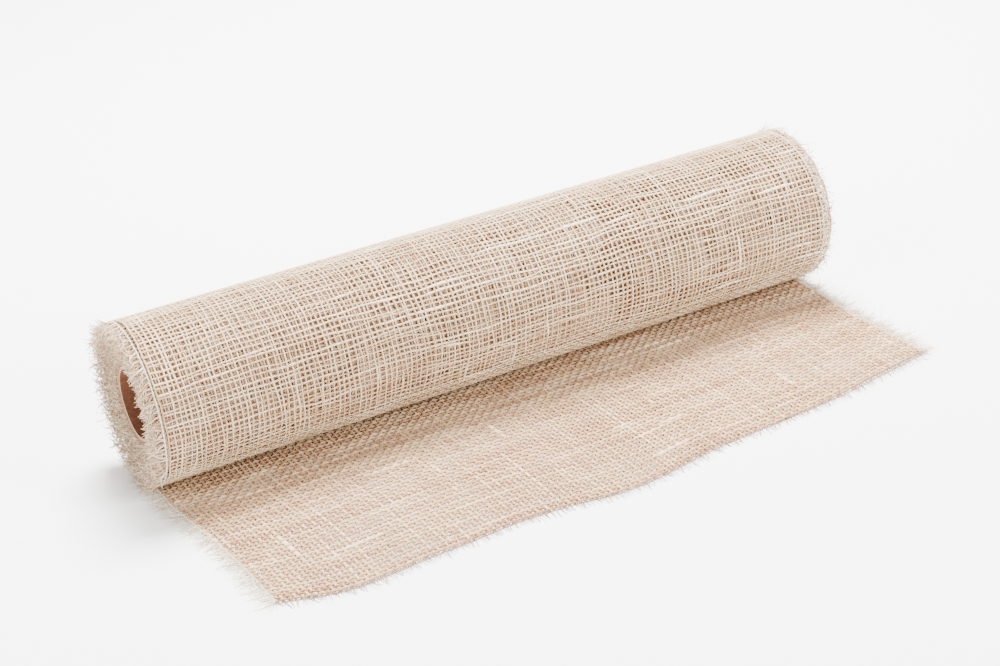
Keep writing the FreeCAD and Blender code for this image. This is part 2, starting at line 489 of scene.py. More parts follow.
@dataclass
class Weave:
    """A plain weave of warps and picks, with the wander and the slubs of hand-spun jute.

    The grids have one row for each warp and one column for each pick, and hold where the two
    cross: across the cloth and along it.
    """

    across: np.ndarray
    along: np.ndarray
    seed: int
    warp: YarnSizes = TIGHT_WARP
    pick: YarnSizes = TIGHT_PICK
    wraps: bool = False
    sides: int = 5
    middles: bool = True
    parity: int = 0
    wander: float = 1.0
    # Painted shade: how much darker each yarn is made where it dips under the other set.
    dip_painted_shade: float = 0.0
    pressed: np.ndarray | None = None
    warp_wide: np.ndarray = field(init=False)
    pick_wide: np.ndarray = field(init=False)
    warp_shade: np.ndarray = field(init=False)
    pick_shade: np.ndarray = field(init=False)

    def __post_init__(self) -> None:
        """Moves the crossings a little and sets how thick and pale each yarn is."""
        rng = np.random.default_rng(self.seed)
        shape = self.across.shape
        for size, reach in ACROSS_WANDER:
            self.across = self.across + self.wander * size * smooth_noise(rng, shape, reach)
        jitter = smooth_noise(rng, (shape[0], 1), (0, 0))
        self.across = self.across + self.wander * WARP_JITTER * jitter
        for size, reach in ALONG_WANDER:
            self.along = self.along + self.wander * size * smooth_noise(rng, shape, reach)
        jitter = smooth_noise(rng, (1, shape[1]), (0, 0))
        self.along = self.along + self.wander * PICK_JITTER * jitter
        self.warp_wide = self._widths(rng, shape, reach=(0, 2.0), spread=0.13, slub_above=2.1)
        self.pick_wide = self._widths(rng, shape, reach=(2.6, 0), spread=0.17, slub_above=1.75)
        self.warp_shade = self._shades(rng, shape, 0, self.warp_wide)
        self.pick_shade = self._shades(rng, shape, 1, self.pick_wide)

    def _widths(
        self, rng: np.random.Generator, shape: tuple[int, int], reach: tuple[float, float],
        spread: float, slub_above: float,
    ) -> np.ndarray:
        """How wide each yarn is at each crossing.

        Args:
            rng: the source of the noise.
            shape: the shape of the grid.
            reach: how far along the yarn a thick place runs, in crossings.
            spread: the usual unevenness, as a share of the width.
            slub_above: the noise above which a thick place becomes a slub.

        Returns:
            The width at each crossing, as a share of the usual width.
        """
        uneven = smooth_noise(rng, shape, reach)
        slub = np.maximum(smooth_noise(rng, shape, tuple(1.3 * r for r in reach)) - slub_above, 0)
        return np.clip(1 + spread * uneven + 1.1 * slub, 0.6, 2.0)

    def _shades(
        self, rng: np.random.Generator, shape: tuple[int, int], yarn_axis: int, wide: np.ndarray
    ) -> np.ndarray:
        """How pale each yarn is at each crossing, around 0.5.

        Args:
            rng: the source of the noise.
            shape: the shape of the grid.
            yarn_axis: the grid's axis that counts these yarns.
            wide: the yarns' widths, because a thick place is paler.

        Returns:
            The shade at each crossing.
        """
        each = [1, 1]
        each[yarn_axis] = shape[yarn_axis]
        reach = (0, 6) if yarn_axis == 0 else (6, 0)
        shade = 0.5 + 0.035 * rng.standard_normal(each) + 0.07 * smooth_noise(rng, shape, reach)
        return shade + 0.35 * (wide - 1)

    def _path(
        self, place: Placer, grids: list[np.ndarray], size: YarnSizes, axis: int, closed: bool
    ) -> Yarns:
        """Makes a batch of yarns of one set of the weave.

        Args:
            place: puts points of the cloth in space.
            grids: for each crossing its place across the cloth, its place along it, the side
                that the yarn passes on (1 or -1), the yarn's width, its shade and its pressing.
            size: the yarns' sizes.
            axis: the grid's axis that runs along these yarns.
            closed: whether the yarns close on themselves.

        Returns:
            The batch.
        """
        if self.middles and closed:
            even = np.arange(grids[1].shape[axis]) * CLOTH.pick_pitch
            grids[1] = grids[1] - even
            grids = [with_middles(g, axis, True) for g in grids]
            grids[1] = grids[1] + np.arange(grids[1].shape[axis]) * CLOTH.pick_pitch / 2
        elif self.middles:
            grids = [with_middles(g, axis, False) for g in grids]
        if axis == 0:
            grids = [g.T for g in grids]
        across, along, side, wide, shade, press = grids
        centre, normal = place(across, along, side * size.lift * press)
        tall = size.half_height * np.clip(wide, 0.8, 1.25) * press
        return Yarns(centre, normal, size.half_width * wide, tall, shade, self.sides, closed)

    def piece(self, name: str, place: Placer, first: int, last: int) -> bpy.types.Object:
        """Makes one piece of the cloth, from one warp up to another.

        Args:
            name: the object's name.
            place: puts points of the cloth in space.
            first: the first warp.
            last: the warp after the last.

        Returns:
            The piece.
        """
        warps, picks = self.across.shape
        i, j = np.meshgrid(np.arange(warps), np.arange(picks), indexing="ij")
        side = np.where((i + j + self.parity) % 2 == 0, 1.0, -1.0)
        press = np.ones(self.across.shape) if self.pressed is None else self.pressed
        made = YarnPiece(name)
        rows = slice(first, last)
        # Painted shade: each yarn is darkened where it dips under the other set, standing in for the shadow
        # in the weave's hollows.
        warp_shade = self.warp_shade + self.dip_painted_shade * (side - 1)
        pick_shade = self.pick_shade + self.dip_painted_shade * (-side - 1)
        warp = [self.across, self.along, side, self.warp_wide, warp_shade, press]
        made.add(self._path(place, [g[rows] for g in warp], self.warp, 1, self.wraps))
        reach = slice(first, min(last + 1, warps))
        pick = [self.across, self.along, -side, self.pick_wide, pick_shade, press]
        made.add(self._path(place, [g[reach] for g in pick], self.pick, 0, False))
        return made.build()


# --- Where the cloth lies -----------------------------------------------------------------


@dataclass(frozen=True)
class OnRoll:
    """Puts points of the cloth on the roll."""

    radius: float
    wrap_radius: float
    axis_height: float

    def __call__(self, across: np.ndarray, along: np.ndarray, lift: np.ndarray) -> Placed:
        """The points in space, and the cloth's outward normal there.

        Args:
            across: the places across the cloth.
            along: the places along the cloth.
            lift: the heights above the cloth's middle.

        Returns:
            The points and the normals.
        """
        turn = along / self.wrap_radius
        normal = outward(turn)
        centre = normal * (self.radius + lift)[..., None]
        centre[..., 0] = across
        centre[..., 2] += self.axis_height
        return centre, normal


@dataclass(frozen=True)
class OnTable:
    """Puts points of the cloth on the table, with the gentle swells of cloth that was wound up.

    Near the roll the cloth lies on the reserve, and further out on the table. The roll presses it
    flatter where it rests on it.
    """

    seed: int
    near_base: float
    far_base: float
    rise: float
    swell: float = 0.0
    kept_under_roll: float = 1.0
    press_reach: float = 0.017
    step_length: float = 0.012
    swell_waves: int = 7

    def press(self, along: np.ndarray) -> np.ndarray:
        """The share of its thickness that the cloth keeps.

        Args:
            along: the places along the cloth.

        Returns:
            The shares.
        """
        return self.kept_under_roll + (1 - self.kept_under_roll) * ease(-along / self.press_reach)

    def height(self, across: np.ndarray, along: np.ndarray) -> np.ndarray:
        """How high the cloth's middle lies.

        Args:
            across: the places across the cloth.
            along: the places along the cloth.

        Returns:
            The heights.
        """
        away = ease((-along - CLOTH.straight_length) / self.step_length)
        rng = np.random.default_rng(self.seed)
        swell = np.zeros_like(across)
        for _ in range(self.swell_waves):
            waves = rng.uniform(9, 34)
            slant = rng.uniform(-16, 16)
            phase = rng.uniform(0, 2 * math.pi)
            swell = swell + np.sin(waves * across + slant * along + phase)
        swell = np.maximum(swell / 3 + 0.25, 0) * self.swell * away
        base = self.near_base + (self.far_base - self.near_base) * away
        return base + self.rise * self.press(along) + swell

    def __call__(self, across: np.ndarray, along: np.ndarray, lift: np.ndarray) -> Placed:
        """The points in space, and the cloth's upward normal there.

        Args:
            across: the places across the cloth.
            along: the places along the cloth.
            lift: the heights above the cloth's middle.

        Returns:
            The points and the normals.
        """
        centre = np.stack([across, along, self.height(across, along) + lift], -1)
        return centre, np.broadcast_to(UP, centre.shape).copy()


def draw_in(edge: Edge, distance: np.ndarray) -> np.ndarray:
    """How far the laid cloth's edge has drawn in.

    Args:
        edge: which edge.
        distance: the distances from the roll.

    Returns:
        The distances by which the edge has moved inwards.
    """
    total = CLOTH.left_draw_in if edge is Edge.LEFT else CLOTH.right_draw_in
    share = (distance - CLOTH.straight_length) / (CLOTH.draw_in_end - CLOTH.straight_length)
    return total * np.sin(math.pi / 2 * np.clip(share, 0, 1))


def hem_distance(share: np.ndarray) -> np.ndarray:
    """How far the last pick lies from the roll, in a line that was cut by hand.

    Args:
        share: the place across the cloth, from -1 at the left edge to 1 at the right.

    Returns:
        The distances.
    """
    places, distances = np.array(CLOTH.hem).T
    slopes = np.gradient(distances, places)
    span = np.clip(np.searchsorted(places, share) - 1, 0, len(places) - 2)
    width = places[span + 1] - places[span]
    t = (share - places[span]) / width
    start = (1 + 2 * t) * (1 - t) ** 2 * distances[span] + t * (1 - t) ** 2 * width * slopes[span]
    end = t * t * (3 - 2 * t) * distances[span + 1] - t * t * (1 - t) * width * slopes[span + 1]
    return start + end


# --- Materials ----------------------------------------------------------------------------


def srgb(red: float, green: float, blue: float) -> Colour:
    """A colour given as it looks, from 0 to 255, as a linear colour.

    Args:
        red: the red part.
        green: the green part.
        blue: the blue part.

    Returns:
        The linear colour, opaque.
    """
    parts = [c / 255 for c in (red, green, blue)]
    linear = [c / 12.92 if c <= 0.04045 else ((c + 0.055) / 1.055) ** 2.4 for c in parts]
    return (*linear, 1.0)


class Nodes:
    """A short way to write a material's node tree."""

    def __init__(self, name: str) -> None:
        """Starts a material with a principled shader.

        Args:
            name: the material's name.
        """
        self.material = bpy.data.materials.new(name)
        self.material.use_nodes = True
        self.tree = self.material.node_tree
        self.shader = next(n for n in self.tree.nodes if n.type == "BSDF_PRINCIPLED")
        self.coordinates = self.add("ShaderNodeTexCoord")

    def add(self, kind: str, inputs: dict | None = None, **settings: object) -> bpy.types.Node:
        """Adds a node.

        Args:
            kind: the node's type.
            inputs: values, or sockets to link from, for the node's inputs.
            settings: the node's own properties.

        Returns:
            The node.
        """
        node = self.tree.nodes.new(kind)
        for key, value in settings.items():
            setattr(node, key, value)
        for key, value in (inputs or {}).items():
            self.set(node.inputs[key], value)
        return node

    def set(self, socket: bpy.types.NodeSocket, value: object) -> None:
        """Sets a socket's value, or links it to another socket.

        Args:
            socket: the socket to set.
            value: a value or an output socket.
        """
        if isinstance(value, bpy.types.NodeSocket):
            self.tree.links.new(value, socket)
        else:
            socket.default_value = value

    def math(self, operation: str, first: object, second: object = 0.0) -> bpy.types.NodeSocket:
        """The result of a sum on two values."""
        return self.add("ShaderNodeMath", {0: first, 1: second}, operation=operation).outputs[0]

    def noise(self, vector: object, scale: float, detail: float = 2.0) -> bpy.types.NodeSocket:
        """Noise over a vector, from 0 to 1."""
        inputs = {"Vector": vector, "Scale": scale, "Detail": detail}
        return self.add("ShaderNodeTexNoise", inputs).outputs["Fac"]

    def ramp(self, value: object, stops: list[tuple[float, tuple]]) -> bpy.types.NodeSocket:
        """A colour that goes through the given stops as a value goes from 0 to 1.

        Args:
            value: the value, or the socket that gives it.
            stops: each stop's place and colour.

        Returns:
            The colour's socket.
        """
        node = self.add("ShaderNodeValToRGB", {"Fac": value})
        while len(node.color_ramp.elements) < len(stops):
            node.color_ramp.elements.new(0.5)
        for element, (place, colour) in zip(node.color_ramp.elements, stops):
            element.position = place
            element.color = colour
        return node.outputs["Color"]

    def mix(self, share: object, first: object, second: object, blend: str = "MIX") -> bpy.types.NodeSocket:
        """One colour mixed into another.

        Args:
            share: how much of the second colour there is, from 0 to 1.
            first: the first colour.
            second: the second colour.
            blend: how the two are mixed.

        Returns:
            The mixed colour's socket.
        """
        node = self.add("ShaderNodeMix", data_type="RGBA", blend_type=blend)
        self.set(node.inputs["Factor"], share)
        self.set(node.inputs[6], first)
        self.set(node.inputs[7], second)
        return node.outputs[2]

    def around_axis(self, axis_height: float) -> bpy.types.Node:
        """Splits each point's place into X, Y and Z, measured from the roll's axis.

        Args:
            axis_height: the height of the axis.

        Returns:
            The node, with one output for each part.
        """
        inputs = {"Vector": self.coordinates.outputs["Object"], "Location": (0, 0, -axis_height)}
        centred = self.add("ShaderNodeMapping", inputs).outputs[0]
        return self.add("ShaderNodeSeparateXYZ", {0: centred})

    def bump(self, height: object, distance: float, strength: float = 1.0) -> None:
        """Puts a bump on the shader."""
        inputs = {"Height": height, "Distance": distance, "Strength": strength}
        self.set(self.shader.inputs["Normal"], self.add("ShaderNodeBump", inputs).outputs[0])


@dataclass(frozen=True)
class YarnFinish:
    """Spun jute: a colour that follows the yarn's shade, flecks, and the twist of its fibres."""

    name: str
    dark: Colour
    middle: Colour
    pale: Colour
    fleck: Colour = srgb(150, 116, 84)
    twists_per_metre: float = 420.0
    roughness: float = 0.85
    sheen: float = 0.25

    def material(self) -> bpy.types.Material:
        """Makes the material.

        Returns:
            The material.
        """
        n = Nodes(self.name)
        place, uv = n.coordinates.outputs["Object"], n.coordinates.outputs["UV"]
        shade = n.add("ShaderNodeAttribute", attribute_name="shade").outputs["Fac"]
        streaks = n.noise(n.add(
            "ShaderNodeMapping", {"Vector": uv, "Scale": (180.0, 5.0, 1.0)}).outputs[0], 1.0, 3.0)
        tone = n.math("ADD", shade, n.math("MULTIPLY", n.math("SUBTRACT", streaks, 0.5), 0.55))
        colour = n.ramp(tone, [(0.15, self.dark), (0.5, self.middle), (0.85, self.pale)])
        specks = n.noise(place, 420.0, 1.0)
        speck_share = n.math("MULTIPLY", n.math("GREATER_THAN", specks, 0.765), 0.65)
        colour = n.mix(speck_share, colour, self.fleck)
        n.set(n.shader.inputs["Base Color"], colour)
        n.shader.inputs["Roughness"].default_value = self.roughness
        n.shader.inputs["Sheen Weight"].default_value = self.sheen
        n.shader.inputs["Sheen Roughness"].default_value = 0.5
        n.shader.inputs["Specular IOR Level"].default_value = 0.25
        parts = n.add("ShaderNodeSeparateXYZ", {0: uv})
        turn = n.math("ADD", n.math("MULTIPLY", parts.outputs[0], self.twists_per_metre), parts.outputs[1])
        twist = n.math("SINE", n.math("MULTIPLY", turn, 2 * math.pi * 2))
        height = n.math("ADD", n.math("MULTIPLY", twist, 0.5), streaks)
        n.bump(height, 0.00012, 0.8)
        return n.material


@dataclass(frozen=True)
class WindingFinish:
    """The deeper turns of the winding, seen through the holes of the turns above them."""

    name: str
    # Painted shade: the colour painted into the holes between the woven yarns and into the grooves between
    # the turns.
    hole_painted_shade: Colour
    yarn: Colour
    axis_height: float
    radius: float

    def material(self) -> bpy.types.Material:
        """Makes the material.

        Returns:
            The material.
        """
        n = Nodes(self.name)
        place = n.coordinates.outputs["Object"]
        x, y, z = n.around_axis(self.axis_height).outputs
        wander = n.math("MULTIPLY", n.math("SUBTRACT", n.noise(place, 60.0), 0.5), 3.0)
        turn = n.math("ARCTAN2", y, z)
        picks = round(2 * math.pi * self.radius / CLOTH.pick_pitch)
        weft = n.math("SINE", n.math("ADD", n.math("MULTIPLY", turn, float(picks)), wander))
        warp = n.math("SINE", n.math("ADD", n.math("MULTIPLY", x, 2 * math.pi / CLOTH.warp_pitch), wander))
        away = n.math("SQRT", n.math("ADD", n.math("MULTIPLY", y, y), n.math("MULTIPLY", z, z)))
        rings = n.math("SINE", n.math("MULTIPLY", away, 2 * math.pi / CLOTH.turn_pitch))
        # Painted shade: where neither a yarn nor a ring's crest runs, the hole colour paints the holes and
        # grooves dark.
        woven = n.math("MAXIMUM", n.math("MAXIMUM", weft, warp), rings)
        speckle = n.noise(place, 900.0, 3.0)
        tone = n.math("ADD", n.math("MULTIPLY", woven, 0.3), speckle)
        colour = n.ramp(tone, [(0.35, self.hole_painted_shade), (0.9, self.yarn)])
        n.set(n.shader.inputs["Base Color"], colour)
        n.shader.inputs["Roughness"].default_value = 0.95
        n.shader.inputs["Specular IOR Level"].default_value = 0.1
        n.bump(tone, 0.0005, 0.8)
        return n.material


@dataclass(frozen=True)
class CardFinish:
    """Grey-brown spiral-wound card, with the seam of its plies and the specks of its pulp."""

    name: str
    board: Colour
    pulp: Colour
    axis_height: float
    seam_pitch: float = 0.12

    def material(self) -> bpy.types.Material:
        """Makes the material.

        Returns:
            The material.
        """
        n = Nodes(self.name)
        place = n.coordinates.outputs["Object"]
        x, y, z = n.around_axis(self.axis_height).outputs
        turn = n.math("DIVIDE", n.math("ARCTAN2", y, z), 2 * math.pi)
        spiral = n.math("ADD", n.math("DIVIDE", x, self.seam_pitch), turn)
        across_ply = n.math("FRACT", spiral)
        seam = n.math("LESS_THAN", n.math("ABSOLUTE", n.math("SUBTRACT", across_ply, 0.5)), 0.006)
        fibres = n.noise(n.add(
            "ShaderNodeMapping", {"Vector": place, "Scale": (400.0, 900.0, 900.0)}).outputs[0], 1.0, 4.0)
        colour = n.ramp(fibres, [(0.3, self.pulp), (0.7, self.board)])
        colour = n.mix(n.math("MULTIPLY", seam, 0.7), colour, srgb(96, 70, 52))
        n.set(n.shader.inputs["Base Color"], colour)
        n.shader.inputs["Roughness"].default_value = 0.8
        n.shader.inputs["Specular IOR Level"].default_value = 0.25
        n.bump(n.math("SUBTRACT", fibres, n.math("MULTIPLY", seam, 2.0)), 0.00015, 0.7)
        return n.material


@dataclass(frozen=True)
class TapeFinish:
    """Cream double-sided tape, faintly crinkled."""

    name: str = "double_sided_tape"

    def material(self) -> bpy.types.Material:
        """Makes the material.

        Returns:
            The material.
        """
        n = Nodes(self.name)
        crinkle = n.noise(n.coordinates.outputs["Object"], 700.0, 3.0)
        colour = n.ramp(crinkle, [(0.3, srgb(214, 204, 180)), (0.7, srgb(232, 224, 204))])
        n.set(n.shader.inputs["Base Color"], colour)
        n.shader.inputs["Roughness"].default_value = 0.45
        n.bump(crinkle, 0.0001, 0.5)
        return n.material


@dataclass(frozen=True)
class TableFinish:
    """The plain pale table top."""

    name: str = "table_top"

    def material(self) -> bpy.types.Material:
        """Makes the material.

        Returns:
            The material.
        """
        n = Nodes(self.name)
        tone = n.noise(n.coordinates.outputs["Object"], 3.0)
        colour = n.ramp(tone, [(0.0, srgb(251, 251, 251)), (1.0, srgb(253, 253, 253))])
        n.set(n.shader.inputs["Base Color"], colour)
        n.shader.inputs["Roughness"].default_value = 0.9
        n.shader.inputs["Specular IOR Level"].default_value = 0.0
        return n.material


class Finishes:
    """Every material of the object, made once."""

    def __init__(self, roll: RollSizes) -> None:
        """Makes the materials.

        Args:
            roll: the roll's sizes, for the patterns that run round its axis.
        """
        self.jute = YarnFinish(
            "jute_yarn", srgb(186, 140, 96), srgb(222, 194, 154), srgb(246, 231, 200)).material()
        # Painted shade: the laid cloth is the roll's own jute, given darker, warmer colours so that it looks
        # less lit than the lamps make it.
        self.laid_jute_painted_shade = YarnFinish(
            "jute_yarn_laid_shaded", srgb(154, 100, 58), srgb(198, 162, 120), srgb(235, 210, 172)).material()
        # Painted shade: the second turn is the same jute as the outer one, given darker colours for the shade
        # beneath the outer turn.
        self.under_jute_painted_shade = YarnFinish(
            "jute_yarn_beneath_shaded", srgb(154, 118, 90), srgb(190, 156, 124), srgb(216, 190, 158)).material()
        # Painted shade: the reserve is the same jute, given darker, more orange colours for the warm shade at
        # the nip under the roll.
        self.reserve_jute_painted_shade = YarnFinish(
            "jute_yarn_reserve_shaded", srgb(150, 90, 50), srgb(188, 128, 82), srgb(216, 166, 118)).material()
        self.fringe = YarnFinish(
            "jute_fringe", srgb(178, 134, 94), srgb(226, 198, 162), srgb(250, 237, 213),
            twists_per_metre=200.0).material()
        self.side_fringe = YarnFinish(
            "jute_fringe_side", srgb(204, 168, 126), srgb(234, 212, 178), srgb(250, 239, 217),
            twists_per_metre=200.0).material()
        self.hem_fringe = YarnFinish(
            "jute_fringe_hem", srgb(116, 80, 54), srgb(154, 116, 84), srgb(204, 170, 134),
            twists_per_metre=200.0).material()
        self.bark = YarnFinish(
            "jute_bark", srgb(74, 48, 32), srgb(106, 72, 48), srgb(140, 100, 70)).material()
        self.thread = YarnFinish(
            "white_selvage_thread", srgb(228, 217, 198), srgb(243, 235, 220), srgb(252, 247, 238),
            fleck=srgb(214, 204, 190), twists_per_metre=900.0).material()
        # Painted shade: the deeper turns are the same jute, given darker colours for the shade deep inside
        # the roll, with shaded holes and grooves painted on.
        self.winding = WindingFinish(
            "deeper_turns", srgb(130, 96, 70), srgb(180, 146, 114), roll.axis_height, roll.radius).material()
        self.card = CardFinish(
            "kraft_card", srgb(122, 78, 54), srgb(96, 60, 40), roll.axis_height).material()
        self.board = CardFinish(
            "grey_board", srgb(168, 140, 116), srgb(140, 112, 90), roll.axis_height).material()
        self.tape = TapeFinish().material()


def dress(piece: bpy.types.Object, material: bpy.types.Material) -> bpy.types.Object:
    """Puts a material on a piece.

    Args:
        piece: the piece.
        material: the material.

    Returns:
        The piece.
    """
    piece.data.materials.clear()
    piece.data.materials.append(material)
    return piece


def fold_with_cloth(piece: bpy.types.Object) -> None:
    """Bakes a piece's transform into its mesh.

    Args:
        piece: the piece.
    """
    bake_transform(piece)


# --- Sub-assemblies -----------------------------------------------------------------------


@dataclass
class CardCore:
    """The card tube and its tape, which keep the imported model's shapes."""

    finishes: Finishes

    def build(self) -> None:
        """Gives the tube's plies and the tape their finishes."""
        looks = {
            "core_liner": self.finishes.card,
            "core_board": self.finishes.board,
            "core_wrapper": self.finishes.card,
            "start_tape": self.finishes.tape,
        }
        for node, material in looks.items():
            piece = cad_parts[node]
            for place in piece.material_slots:
                place.material = material
            log.info("%s: finished as %s", node, material.name)


@dataclass
class WovenTurn:
    """One whole turn of the cloth on the roll."""

    roll: RollSizes
    finishes: Finishes
    depth: int
    seed: int

    def __post_init__(self) -> None:
        """Works out the turn's radius and its weave."""
        outside = self.roll.radius - self.depth * CLOTH.turn_pitch
        self.picks = CLOTH.picks_per_turn[self.depth]
        warps = (np.arange(CLOTH.warps) + 0.5) * CLOTH.warp_pitch - CLOTH.width / 2
        picks = (np.arange(self.picks) + 0.5) * CLOTH.pick_pitch
        across, along = np.meshgrid(warps, picks, indexing="ij")
        wrap = self.picks * CLOTH.pick_pitch / (2 * math.pi)
        self.place = OnRoll(outside - WEAVE_DEPTH, wrap, self.roll.axis_height)
        self.weave = Weave(
            across, along, self.seed, wraps=True, middles=self.depth == 0, sides=5 if self.depth == 0 else 4)

    def build(self, parts: int) -> None:
        """Makes the turn in pieces, side by side along the roll.

        Args:
            parts: how many pieces.
        """
        # The second turn wears the darker copy of the jute, which is painted shade.
        material = self.finishes.jute if self.depth == 0 else self.finishes.under_jute_painted_shade
        label = "outer_turn_cloth" if self.depth == 0 else "second_turn_cloth"
        bounds = [round(CLOTH.warps * k / parts) for k in range(parts + 1)]
        for k in range(parts):
            piece = self.weave.piece(f"{label}_{k + 1}", self.place, bounds[k], bounds[k + 1])
            dress(piece, material)
            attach(piece, Body.ROLL.value)


@dataclass
class DeeperTurns:
    """The rest of the winding, a drum with a groove between each turn and the next on its ends."""

    roll: RollSizes
    finishes: Finishes
    facets: int = 144
    groove: float = 0.0004

    def build(self) -> None:
        """Makes the drum from a cylinder whose ends are inset turn by turn."""
        outer = self.roll.radius - 2 * CLOTH.turn_pitch - 0.0001
        inner = self.roll.core_radius + 0.0004
        bpy.ops.object.select_all(action="DESELECT")
        bpy.ops.mesh.primitive_cylinder_add(
            vertices=self.facets, radius=outer, depth=CLOTH.width, end_fill_type="NGON",
            location=(0, 0, self.roll.axis_height), rotation=(0, math.pi / 2, 0))
        piece = bpy.context.object
        piece.name = piece.data.name = "deeper_turns"
        bpy.ops.object.transform_apply(location=True, rotation=True, scale=True)
        bpy.ops.object.mode_set(mode="EDIT")
        bpy.ops.mesh.select_mode(type="FACE")
        bpy.ops.mesh.select_all(action="DESELECT")
        mesh = bmesh.from_edit_mesh(piece.data)
        for face in mesh.faces:
            face.select = abs(face.normal.x) > 0.9
        bmesh.update_edit_mesh(piece.data)
        turns = int((outer - inner) / CLOTH.turn_pitch)
        share = (outer - inner) / turns
        slope, ridge = share * 0.35, share * 0.30
        for _ in range(turns):
            bpy.ops.mesh.inset(thickness=slope, depth=-self.groove)
            bpy.ops.mesh.inset(thickness=ridge, depth=self.groove)
            bpy.ops.mesh.inset(thickness=slope, depth=0.0)
        bpy.ops.mesh.bridge_edge_loops()
        bpy.ops.object.mode_set(mode="OBJECT")
        bpy.ops.object.shade_smooth_by_angle(angle=math.radians(40))
        dress(piece, self.finishes.winding)
        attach(piece, Body.ROLL.value)
        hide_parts("wound_cloth", "outer_turn", "roll_selvage_left", "roll_selvage_right")
        log.info("deeper_turns: %d faces", len(piece.data.polygons))


@dataclass
class SelvageThread:
    """The white thread that locks an edge: two fine ends that twist round every pick."""

    finishes: Finishes
    half_width: float
    swing: float = 0.00030
    lift: float = 0.0002
    shade: float = 0.6
    steps: int = 3

    def add_to(
        self, piece: YarnPiece, place: Placer, across: np.ndarray, along: np.ndarray, closed: bool
    ) -> None:
        """Adds the two ends of the thread along one edge.

        Args:
            piece: collects the yarns.
            place: puts points of the cloth in space.
            across: the edge's places across the cloth, pick by pick.
            along: the picks' places along the cloth.
            closed: whether the edge closes on itself.
        """
        steps = self.steps
        count = len(along)
        slope = np.arange(count) * CLOTH.pick_pitch
        sample = np.arange(count * steps if closed else (count - 1) * steps + 1) / steps
        wander = np.append(along - slope, (along - slope)[:1]) if closed else along - slope
        places = np.append(across, across[:1]) if closed else across
        s = np.interp(sample, np.arange(len(wander)), wander) + sample * CLOTH.pick_pitch
        if not closed:
            s = np.interp(sample, np.arange(count), along)
        x = np.interp(sample, np.arange(len(places)), places)
        for phase in (0.0, math.pi):
            angle = math.pi * sample + phase
            lift = self.lift + self.swing * np.cos(angle)
            centre, normal = place((x + self.swing * np.sin(angle))[None], s[None], lift[None])
            size = np.full(centre.shape[:2], self.half_width)
            shade = np.full(centre.shape[:2], self.shade)
            piece.add(Yarns(centre, normal, size, size, shade, 5, closed))

    def finish(self, piece: YarnPiece) -> bpy.types.Object:
        """Makes the thread's object and dresses it."""
        return dress(piece.build(), self.finishes.thread)


